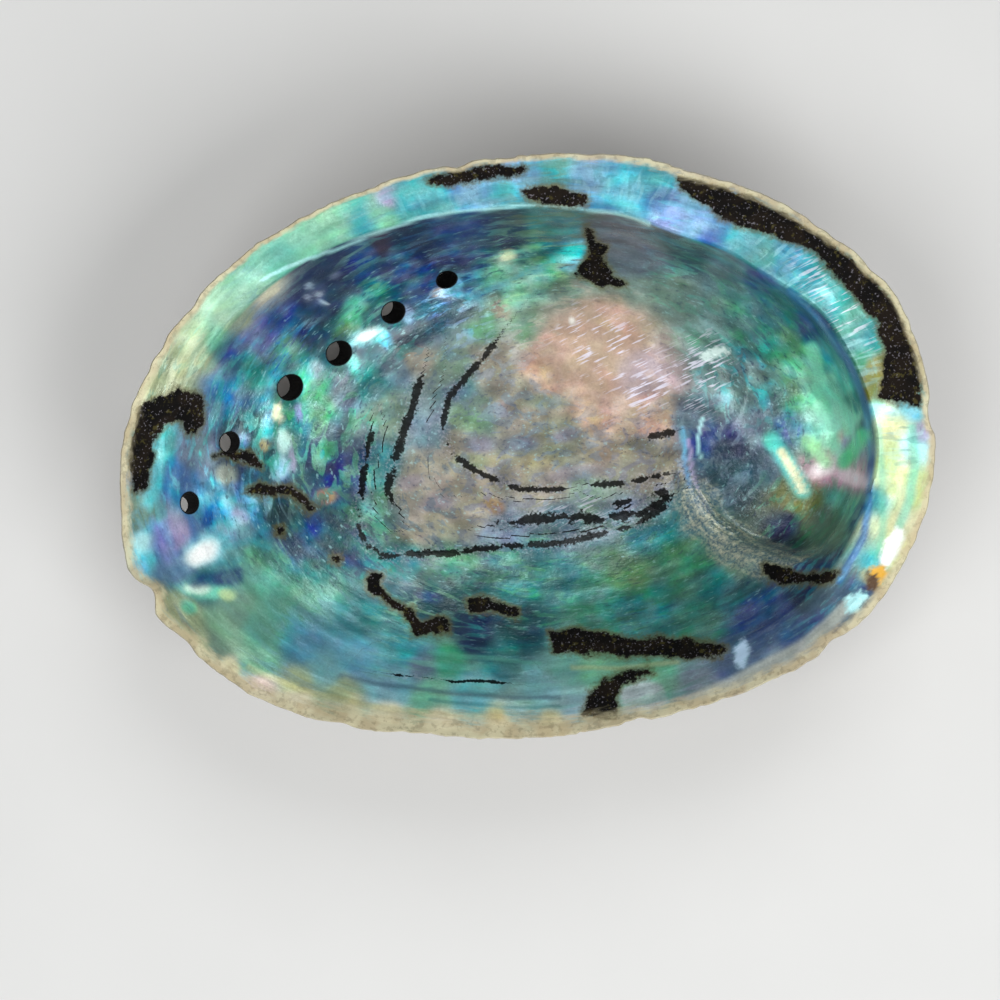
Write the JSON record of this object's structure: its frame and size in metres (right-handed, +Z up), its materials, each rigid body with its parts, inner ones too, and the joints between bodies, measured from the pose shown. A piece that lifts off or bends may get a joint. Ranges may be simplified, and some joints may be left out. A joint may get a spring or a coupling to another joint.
{
  "type": "abalone shell",
  "caption": "Whole abalone shell lying open side up: ear-shaped bowl with a nacre shelf, spire pit, muscle scar, chipped lip and a row of holes.",
  "frame": {"origin": "centre of the bounding box in plan, on the surface that the worn crest of the back rests on", "axes": "+X along the shell towards the spire, +Y across it towards the shelf and the row of holes, +Z up out of the open side"},
  "size_m": [0.1355, 0.096, 0.0347],
  "materials": {
    "shell": "polished nacre inside, dull and ribbed outside"
  },
  "bodies": {
    "root": {"shell": "shell"}
  },
  "joints": []
}
